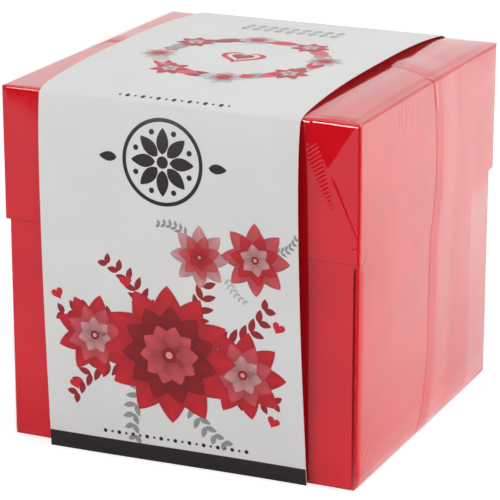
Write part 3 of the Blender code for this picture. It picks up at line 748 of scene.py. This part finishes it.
def sleeve_surface(across, along, lift):
    """A place above the sleeve's outer face."""
    small = 0.0004
    low = np.clip(along - small, 0, SLEEVE_LENGTH)
    high = np.clip(along + small, 0, SLEEVE_LENGTH)
    ahead = sleeve_place(across, high) - sleeve_place(across, low)
    aside = sleeve_place(across + small, along) - sleeve_place(across - small, along)
    return sleeve_place(across, along) + unit(np.cross(aside, ahead)) * (PAPER + lift)


def make_sleeve():
    """The paper sleeve: an arched strip with two folds, and its print."""
    rows = list(np.linspace(0, SLEEVE_LENGTH, 230))
    for fold in (FRONT_LENGTH, FRONT_LENGTH + TOP_LENGTH):
        rows.extend(fold + np.linspace(-0.0016, 0.0026, 15))
    along, across = crossed(sorted(rows), np.linspace(-SLEEVE_WIDTH / 2, SLEEVE_WIDTH / 2, 46))
    finishes = [SLEEVE_WHITE, SLEEVE_CORE, SLEEVE_BACK_PAINTED_SHADE]
    sleeve = sheet_piece("sleeve_band", sleeve_place(across, along), sleeve_surface(across, along, 0),
                         "sleeve", finishes, (2, 0, 1))
    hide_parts("paper_sleeve")
    inks = make_print()


# The sleeve's print: shapes of ink on the flat sheet, gathered in order.
INK_LIFT = 0.00003
INK_LAYER = 0.00001
FOOT_BAND = (0.00005, 0.0054)
CHARCOAL = (0.024, 0.015, 0.013)
DEEP_RED = (0.34, 0.004, 0.01)
LEAF_RED = (0.36, 0.01, 0.02)
BRIGHT_RED = (0.72, 0.01, 0.024)
ROSE = (0.76, 0.09, 0.11)
PALE_ROSE = (0.78, 0.35, 0.36)
SOFT_GREY = (0.33, 0.32, 0.315)
PALE_GREY = (0.56, 0.55, 0.54)
INK_WHITE = (0.78, 0.77, 0.76)
PRINTED = []


def lay_ink(x, y, shades, layer, middle=(0, 0), turn=0):
    """Lays a grid of ink on the flat sleeve, turned and moved to a middle."""
    across = middle[0] + x * math.cos(turn) - y * math.sin(turn)
    along = middle[1] + x * math.sin(turn) + y * math.cos(turn)
    spots = sleeve_surface(across, along, INK_LIFT + layer * INK_LAYER)
    PRINTED.append((spots, np.broadcast_to(shades, spots.shape)))


def petal(middle, turn, length, width, inner, outer, layer, start=0):
    """A pointed oval that leaves middle and shades from one colour to another."""
    share, side = crossed(np.linspace(0, 1, 15), np.linspace(-1, 1, 7))
    half = width / 2 * np.sin(math.pi * share ** 0.85) ** 0.8
    mixed = (share * (1 - 0.35 * np.abs(side)))[..., None]
    shades = np.array(inner) * (1 - mixed) + np.array(outer) * mixed
    lay_ink(start + length * share, half * side, shades, layer, middle, turn)


def ring(middle, low, high, shade, layer, squash=1):
    """A ring, or a disc where low is 0."""
    radius, angle = crossed(np.linspace(low, high, 4), np.linspace(0, math.tau, 80))
    lay_ink(radius * np.cos(angle), radius * np.sin(angle) * squash, shade, layer, middle)


def heart(middle, size, shade, layer, turn=0):
    """A heart of a given width."""
    radius, angle = crossed(np.linspace(0, 1, 5), np.linspace(0, math.tau, 49))
    x = 16 * np.sin(angle) ** 3
    y = 13 * np.cos(angle) - 5 * np.cos(2 * angle) - 2 * np.cos(3 * angle) - np.cos(4 * angle)
    lay_ink(x * radius * size / 32, y * radius * size / 32, shade, layer, middle, turn)


def foot_band(low, high):
    """The dark band along a foot."""
    half = SLEEVE_WIDTH / 2 - 0.00002
    along, across = crossed(np.linspace(low, high, 2), np.linspace(-half, half, 43))
    lay_ink(across, along, CHARCOAL, 0)


def round_spot(middle, turn, wide, high=None):
    """A place on a circle or an oval round a middle."""
    return middle[0] + wide * math.cos(turn), middle[1] + (high or wide) * math.sin(turn)


def print_medallion(middle, size):
    """A dark round ornament: a ring, eight petals and beads."""
    ring(middle, size * 0.455, size * 0.5, CHARCOAL, 0)
    for turn in np.arange(8) * math.pi / 4:
        petal(middle, turn, size * 0.3, size * 0.15, CHARCOAL, CHARCOAL, 1, start=size * 0.09)
        ring(round_spot(middle, turn + math.pi / 8, size * 0.36), 0, size * 0.032, CHARCOAL, 1)
    ring(middle, 0, size * 0.07, CHARCOAL, 1)


def print_flower(middle, size, layer, tones, count=9):
    """A flower of three rounds of petals."""
    for number, (reach, width, tone) in enumerate(zip((0.5, 0.36, 0.22), (0.27, 0.22, 0.16), tones)):
        darker = np.array(tone) * 0.45
        for step in range(count - number):
            turn = math.tau * step / (count - number) + 0.35 * number
            petal(middle, turn, size * reach, size * width, darker, tone, layer + 2 * number + step % 2)
    ring(middle, 0, size * 0.055, DEEP_RED, layer + 6)
    ring(middle, 0, size * 0.025, PALE_ROSE, layer + 7)


def print_sprig(middle, turn, size, layer, tone):
    """A curved sprig of leaves."""
    for share in np.linspace(0, 1, 6):
        bend = turn + 0.5 * share
        spot = round_spot(middle, bend, size * share)
        for hand in (-1, 1):
            petal(spot, bend + hand * 0.8, size * (0.3 - 0.12 * share), size * 0.11, tone, tone, layer)


def print_front():
    """The front: an ornament, small and large flowers, beads and the dark foot."""
    print_medallion((-0.001, 0.0975), 0.027)
    for across, turn in ((-0.0165, math.pi), (0.0145, 0)):
        petal((across, 0.0975), turn, 0.006, 0.003, CHARCOAL, CHARCOAL, 0)
    print_flower((0.011, 0.0695), 0.02, 4, (PALE_ROSE, ROSE, BRIGHT_RED), 8)
    print_flower((0.0295, 0.071), 0.023, 4, (ROSE, BRIGHT_RED, PALE_ROSE), 8)
    print_sprig((0.0065, 0.076), 2.4, 0.009, 1, SOFT_GREY)
    print_sprig((0.0365, 0.074), 0.2, 0.008, 1, SOFT_GREY)
    print_sprig((0.0205, 0.064), -1.4, 0.008, 1, PALE_GREY)
    big = (-0.0005, 0.0365)
    print_flower((-0.026, 0.0395), 0.027, 3, (BRIGHT_RED, ROSE, PALE_ROSE))
    print_flower((0.024, 0.0335), 0.029, 3, (BRIGHT_RED, ROSE, PALE_ROSE))
    for turn, reach in ((2.7, 0.02), (3.5, 0.02), (0.4, 0.021), (-0.5, 0.019), (-1.2, 0.017), (-2.1, 0.017),
                        (1.1, 0.02), (2, 0.019)):
        tone = LEAF_RED if reach > 0.018 else SOFT_GREY
        print_sprig(round_spot(big, turn, 0.018, 0.014), turn - 0.2, reach, 0, tone)
    print_flower(big, 0.045, 12, (BRIGHT_RED, DEEP_RED, ROSE), 12)
    for x, y in ((-0.038, 0.015), (0.037, 0.014), (-0.033, -0.014), (0.034, -0.017), (-0.014, 0.022)):
        heart((big[0] + x, big[1] + y), 0.0042, BRIGHT_RED, 2, x * -12)
    for step in range(21):
        ring((-0.024 + step * 0.0024, 0.008), 0, 0.00042 if step % 2 else 0.00065, CHARCOAL, 0)
    foot_band(*FOOT_BAND)


def print_top():
    """The top: beads, a wreath with a heart, and a pale band near the back."""
    for step in range(15):
        bead = (-0.017 + step * 0.0026, FRONT_LENGTH + 0.003)
        ring(bead, 0, 0.0007 if step % 2 else 0.0004, CHARCOAL, 0, 1.2)
    middle = (0.0015, FRONT_LENGTH + 0.051)
    for step in range(26):
        turn = math.tau * step / 26
        tone = (BRIGHT_RED, SOFT_GREY, ROSE, DEEP_RED, PALE_GREY)[step % 5]
        lighter = np.minimum(np.array(tone) * 1.3, 0.8)
        petal(round_spot(middle, turn, 0.027, 0.025), turn + 1.9, 0.012, 0.0055, tone, lighter, step % 3)
    for step in range(8):
        turn = math.tau * step / 8 + 0.2
        tones = (BRIGHT_RED, ROSE, INK_WHITE) if step % 2 else (INK_WHITE, PALE_ROSE, BRIGHT_RED)
        print_flower(round_spot(middle, turn, 0.027, 0.025), 0.013, 5, tones, 7)
    heart(middle, 0.015, BRIGHT_RED, 0)
    heart((middle[0], middle[1] + 0.0003), 0.011, INK_WHITE, 1)
    heart((middle[0], middle[1] + 0.0005), 0.0075, DEEP_RED, 2)
    for step in range(9):
        for turn in (-math.pi / 2, math.pi / 2):
            petal((-0.016 + step * 0.004, FRONT_LENGTH + 0.095), turn, 0.0052, 0.003, PALE_GREY, SOFT_GREY, 0)


def print_back():
    """The back: an ornament, two sprigs and the dark foot."""
    along = SLEEVE_LENGTH - 0.064
    print_medallion((0, along), 0.024)
    print_sprig((-0.015, along), math.pi, 0.014, 0, SOFT_GREY)
    print_sprig((0.015, along), 0, 0.014, 0, SOFT_GREY)
    foot_band(SLEEVE_LENGTH - FOOT_BAND[1], SLEEVE_LENGTH - FOOT_BAND[0])


def make_print():
    """All inks of the sleeve, as one piece."""
    print_front()
    print_top()
    print_back()
    faces = []
    count = 0
    for spots, _ in PRINTED:
        faces.extend(grid_faces(*spots.shape[:2], start=count))
        count += spots.size // 3
    points, shades = (np.concatenate([part.reshape(-1, 3) for part in parts]) for parts in zip(*PRINTED))
    piece = make_piece("sleeve_print", points, faces, "sleeve", [INKS])
    layer = piece.data.attributes.new("ink", "FLOAT_COLOR", "POINT")
    layer.data.foreach_set("color", np.concatenate([shades, np.ones((count, 1))], axis=1).ravel())
    return piece


# Ribbons.
RIBBON_WIDTH = 0.01
RIBBON_THICKNESS = 0.00028
RIBBON_BEND = 0.0006
RIBBON_STEP = 0.0012
SWALLOW_TAIL = 0.006
LOOP_REACH = 0.0205
TAIL_REACH = 0.023
TAIL_TURN = math.radians(34)
TIE_DROP = 0.075


def ribbon_strip(name, path, side, body, notch=0, widths=1, cups=0):
    """A ribbon along a path, its width along side, with a notch at its end."""
    ahead = unit(np.gradient(path, axis=0))
    normal = np.cross(side, ahead)
    lengths = lengths_along(path)
    total = float(lengths[-1])
    share = np.linspace(-1, 1, 13)
    widths, cups = (np.broadcast_to(value, len(path))[:, None] for value in (widths, cups))
    near_end = np.clip(1 - (total - lengths) / SWALLOW_TAIL, 0, 1)
    shift = -near_end[:, None] * notch * (1 - np.abs(share))
    across = share * RIBBON_WIDTH / 2
    cupped = cups * (1 - share ** 2)
    grid = path[:, None] + np.array(side) * (across * widths)[..., None]
    grid = grid + ahead[:, None] * shift[..., None] + normal[:, None] * cupped[..., None]
    flat = np.stack(np.broadcast_arrays(across, lengths[:, None] + shift), axis=-1)
    piece = sheet_piece(name, grid, RIBBON_THICKNESS, body, [SATIN], flat=flat)
    return piece


def ribbon_path(out, low, high):
    """A path from low to high, across and back to low, with rounded corners."""
    corners = np.array([(-out, 0, low), (-out, 0, high), (out, 0, high), (out, 0, low)])
    points = [corners[0]]
    for before, corner, after in zip(corners, corners[1:], corners[2:]):
        for share in np.linspace(0, 1, 7):
            first = corner + unit(before - corner) * RIBBON_BEND * (1 - share)
            second = corner + unit(after - corner) * RIBBON_BEND * share
            points.append(first * (1 - share) + second * share)
    points.append(corners[-1])
    dense = [points[0]]
    for start, stop in zip(points, points[1:]):
        count = max(int(np.linalg.norm(stop - start) / RIBBON_STEP), 1)
        dense.extend(start + (stop - start) * share for share in np.linspace(0, 1, count + 1)[1:])
    return np.array(dense)


def swap_axes(points):
    """The same path a quarter turn round the vertical."""
    return points[:, [1, 0, 2]] * (-1, 1, 1)


def make_gift_ribbons():
    """Ribbons that cross over the small box's lid and round its tray."""
    under = ribbon_path(GIFT_HALF + GAP, GIFT_SKIRT_BOTTOM, GIFT_TOP + GAP)
    over = under.copy()
    over[:, 2] += 0.00012 * hump(over[:, 0], 0, 0.009) * (over[:, 2] > GIFT_TOP)
    first = ribbon_strip("gift_cross_long", over, (0, 1, 0), "gift_lid")
    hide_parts("gift_ribbon_cross")
    ribbon_strip("gift_cross_wide", swap_axes(under), (-1, 0, 0), "gift_lid")
    round_tray = ribbon_path(-GIFT_TRAY_HALF - GAP, GIFT_SKIRT_BOTTOM - 0.001, GIFT_FOOT - GAP)
    third = ribbon_strip("gift_band_long", round_tray, (0, 1, 0), "base")
    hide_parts("gift_ribbon_band")
    ribbon_strip("gift_band_wide", swap_axes(round_tray), (-1, 0, 0), "base")


def bow_loop(name, hand):
    """One loop of the bow: a teardrop, cupped and pinched at the knot."""
    angles = np.linspace(0.06, math.tau - 0.06, 60)
    out = np.sin(angles / 2) ** 2
    swelling = np.sin(angles) * np.abs(np.sin(angles / 2))
    height = BOW_FOOT + BOW_HEIGHT / 2 + (BOW_HEIGHT / 2 - 0.0005) * swelling / np.abs(swelling).max()
    path = np.stack([hand * (0.0016 + LOOP_REACH * out), 0.0006 * np.sin(angles) * hand, height], axis=1)
    cups = -0.0006 * (1 - smooth(out, 0, 0.6))
    ribbon_strip(name, path, (0, hand, 0), "gift_lid", widths=0.45 + 0.55 * smooth(out, 0, 0.55), cups=cups)


def bow_tail(name, hand):
    """One rippled tail of the bow, with a swallow tail."""
    share = np.linspace(0, 1, 40)
    turn = -hand * TAIL_TURN
    height = BOW_FOOT + 0.0007 + 0.0007 * (1 + np.cos(math.tau * share)) * (1 - 0.3 * share)
    x = hand * (0.002 + TAIL_REACH * share)
    path = np.stack([x * math.cos(turn), x * math.sin(turn), height], axis=1)
    side = (-math.sin(turn) * hand, math.cos(turn) * hand, 0)
    cups = 0.0004 * (1 - smooth(share, 0, 0.5))
    ribbon_strip(name, path, side, "gift_lid", 0.003, 0.5 + 0.4 * smooth(share, 0, 0.35), cups)


def make_bow():
    """The bow: two loops, two tails and the ribbon wound round them."""
    bow_loop("bow_loop_left", -1)
    bow_loop("bow_loop_right", 1)
    bow_tail("bow_tail_left", -1)
    bow_tail("bow_tail_right", 1)
    angles = np.linspace(0, math.tau * 0.985, 48)
    height = BOW_FOOT + BOW_HEIGHT / 2 + (0.0031 + 0.0002 * np.cos(3 * angles)) * np.sin(angles)
    path = np.stack([0.003 * np.cos(angles), np.zeros_like(angles), height], axis=1)
    knot = ribbon_strip("bow_knot", path, (0, -1, 0), "gift_lid", widths=0.72, cups=0.0004)
    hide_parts("gift_bow")


def make_tie(side, sign):
    """A ribbon tie inside a wall: it runs down, folds over and ends in a swallow tail."""
    fold = TIE_TOP - TIE_DROP + 0.005
    drop = np.linspace(TIE_TOP, fold, 70)
    out = TIE_FACE + 0.00008 + 0.00005 * np.sin(drop * 160)
    path = np.stack([sign * out, np.zeros_like(drop), drop], axis=1)
    first = ribbon_strip(f"tie_drop_{side}", path, (0, sign, 0), f"wall_{side}")
    run = np.linspace(-0.005, 0.047, 50)
    level = fold + 0.0006 * np.sin(run * 90)
    path = np.stack([np.full_like(run, sign * (TIE_FACE + 0.00014)), sign * run, level], axis=1)
    ribbon_strip(f"tie_turn_{side}", path, (0, 0, -1), f"wall_{side}", notch=0.004)
    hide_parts(f"ribbon_tie_{side}")


# Painted shadow lines on the front (dark strips where shade falls), and the scored creases of walls and
# pages.
SHADOW_LINE_ACROSS = (0.0577, 0.0583)
SHADOW_LINE_HEIGHTS = (0.0016, 0.0712)
SHADOW_LINE_THICKNESS = 0.00004
SKIRT_SHADOW_HEIGHT = 0.00012
CREASE_THICKNESS = 0.0004


def make_painted_shadow_lines():
    """Painted shadow lines: dark strips at the right end of the front wall and along the foot of the lid's
    skirt, where shade falls.
    """
    rise, across = crossed(np.linspace(*SHADOW_LINE_HEIGHTS, 60), np.linspace(*SHADOW_LINE_ACROSS, 4))
    across = across + 0.00008 * waves(rise, 0, 0.02, 41)
    grid = np.stack([across, np.full_like(across, -WALL_OUTER_FACE), rise], axis=-1)
    sheet_piece("wall_painted_shadow_front", grid, SHADOW_LINE_THICKNESS, "wall_front", [PAINTED_SHADE_CARD])
    half = LID_HALF - 0.0004
    heights = np.linspace(SKIRT_BOTTOM, SKIRT_BOTTOM + SKIRT_SHADOW_HEIGHT, 3)
    rise, across = crossed(heights, np.linspace(-half, half, 60))
    grid = np.stack([across, np.full_like(across, -LID_HALF), rise], axis=-1)
    sheet_piece("skirt_painted_shadow_front", grid, SHADOW_LINE_THICKNESS, "lid", [PAINTED_SHADE_CARD])


def crease_strip(panel, side, half, depth, low, high):
    """The scored card between the base and a panel."""
    turn = SIDES.index(side)
    rise, across = crossed(np.linspace(low, high, 10), np.linspace(-half, half, 24))
    grid = np.stack([*turned(across, depth, turn), rise], axis=-1)
    strip = sheet_piece(f"{panel}_crease_{side}", grid, CREASE_THICKNESS, None, [CREASE_CARD])
    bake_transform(strip)


def make_creases():
    """Scored creases of the four walls and the four pages."""
    for side in SIDES:
        crease_strip("wall", side, 0.0568, WALL_HINGE_HALF - 0.0002, 0.00065, WALL_FOOT + 0.00015)
        crease_strip("page", side, 0.0525, PAGE_INNER_FACE + 0.0002, 0.0016, PAGE_FOOT + 0.0002)


# Light: a plain level, at which colours render about as they are written. Lamps: power, place and size.
WORLD_LEVEL = 0.42
LAMPS = {
    "key": (3.1, (-0.36, -1, 0.28), (0.55, 0.2)),
    "fill": (8, (1.3, 0.03, 0.85), (0.6, 0.6)),
    "top": (3.3, (0.25, 0.35, 1.05), (0.6, 0.6)),
}
LAMP_TARGET = (0, 0, 0.06)
FLOOR_HALF = 6
FLOOR_DROP = 0.0001
FLOOR_WHITE = colour(0.82, 0.82, 0.82)
FLOOR_GRAIN = colour(0.8, 0.8, 0.8)
FLOOR_SEEN_IN_FRONT = colour(0.5, 0.5, 0.58)
FLOOR_SEEN_BEHIND = colour(0.9, 0.9, 0.9)
FLOOR_GLOW = 0.66
FLOOR_GLOW_BEHIND = 0.62
# Painted shade in mirrors: where the floor's mirrored glow dims towards the box, and beside its right side.
BEHIND_PAINTED_SHADE_FADE = (0.45, 0.05)
NEAR_PAINTED_SHADE_FADE = (0.11, 0.062)
FRONT_FLOOR = (-0.035, -0.075)
DIM_ROOM = (-0.447, -0.457)
DIM_CORNER = (0.06, 0.075)
MIRRORED_LEVEL = 0.86
BLACK = colour(0, 0, 0)
WHITE = colour(1, 1, 1)


def make_floor():
    """A pale floor: white to the eye, with a soft shadow, dimmer in mirrors towards the front, and with
    painted shade in mirrors near the box.
    """
    mesh = bpy.data.meshes.new("floor")
    half = FLOOR_HALF
    corners = [(-half, -half, 0), (half, -half, 0), (half, half, 0), (-half, half, 0)]
    mesh.from_pydata(corners, [], [(0, 1, 2, 3)])
    floor = add_object("floor", mesh)
    floor.location.z = -FLOOR_DROP
    nodes = Nodes("floor_white")
    rays = nodes.add("LightPath")
    mirror = rays["Is Glossy Ray"]
    place = nodes.add("SeparateXYZ", {0: nodes.place()})
    front = nodes.ramp(place[1], *FRONT_FLOOR)
    corner = nodes.times(front, nodes.ramp(place[0], *DIM_CORNER))
    room = nodes.sum("MAXIMUM", nodes.ramp(place[1], *DIM_ROOM), corner)
    paint = nodes.mix(nodes.noise(0.004), FLOOR_WHITE, FLOOR_GRAIN)
    paint = nodes.mix(mirror, paint, FLOOR_SEEN_BEHIND)
    paint = nodes.mix(nodes.times(mirror, front), paint, FLOOR_SEEN_IN_FRONT)
    paint = nodes.mix(nodes.times(mirror, room), paint, BLACK)
    # Painted shade: the glow that mirrors see is dimmed close to the box and beside its right side, standing
    # for its contact shadow.
    behind = nodes.line(nodes.ramp(place[1], *BEHIND_PAINTED_SHADE_FADE), -0.35, 1)
    behind = nodes.times(behind, nodes.line(nodes.ramp(place[0], *NEAR_PAINTED_SHADE_FADE), -0.6, 1))
    behind = nodes.times(nodes.times(mirror, behind), nodes.sum("SUBTRACT", 1, front))
    seen = nodes.sum("MAXIMUM", rays["Is Camera Ray"], rays["Is Transmission Ray"])
    level = nodes.times(nodes.line(behind, FLOOR_GLOW_BEHIND, seen), FLOOR_GLOW)
    glow = nodes.add("Emission", {"Color": WHITE, "Strength": level})[0]
    base = nodes.add("BsdfDiffuse", {"Color": paint})[0]
    mesh.materials.append(nodes.finish(nodes.add("AddShader", {0: base, 1: glow})[0]))


def make_world():
    """Soft light from all round, white behind and dim in front for mirrors."""
    nodes = Nodes("studio", bpy.data.worlds)
    rays = nodes.add("LightPath")
    mirror = rays["Is Glossy Ray"]
    way = nodes.add("SeparateXYZ", {0: nodes.add("TexCoord")["Generated"]})
    bright = nodes.sum("MAXIMUM", nodes.ramp(way[1], -0.45, -0.15), nodes.ramp(way[2], 0.35, 0.6))
    mirrored = nodes.times(mirror, nodes.times(bright, MIRRORED_LEVEL))
    seen = nodes.sum("MAXIMUM", rays["Is Camera Ray"], rays["Is Transmission Ray"])
    other = nodes.sum("SUBTRACT", 1, nodes.sum("MAXIMUM", seen, mirror))
    total = nodes.line(other, WORLD_LEVEL, nodes.sum("ADD", seen, mirrored))
    sky = nodes.add("Background", {"Color": WHITE, "Strength": total})[0]
    bpy.context.scene.world = nodes.finish(sky, "OutputWorld")


def make_lamps():
    """Large soft lamps that point at the box."""
    for name, (power, place, size) in LAMPS.items():
        light = bpy.data.lights.new(name, "AREA")
        light.shape = "RECTANGLE"
        light.size, light.size_y = size
        light.energy = power
        lamp = add_object(name, light)
        lamp.location = place
        aim = np.subtract(LAMP_TARGET, place)
        tilt = math.atan2(math.hypot(*aim[:2]), -aim[2])
        lamp.rotation_euler = (tilt, 0, math.atan2(-aim[0], aim[1]))


def make_camera():
    """The photograph's camera."""
    data = bpy.data.cameras.new("camera")
    data.sensor_width = CAMERA_SENSOR
    data.lens = CAMERA_LENS
    data.clip_start = 0.01
    data.clip_end = 50
    camera = add_object("camera", data)
    camera.location = CAMERA_PLACE
    camera.rotation_euler = (math.pi / 2 - CAMERA_DROP, 0, CAMERA_AZIMUTH)
    bpy.context.scene.camera = camera


make_camera()
dress_cards()
make_film()
make_sleeve()
make_gift_ribbons()
make_bow()
make_tie("left", -1)
make_tie("right", 1)
make_creases()
make_painted_shadow_lines()
make_floor()
make_world()
make_lamps()
bpy.context.scene.view_settings.view_transform = "Standard"
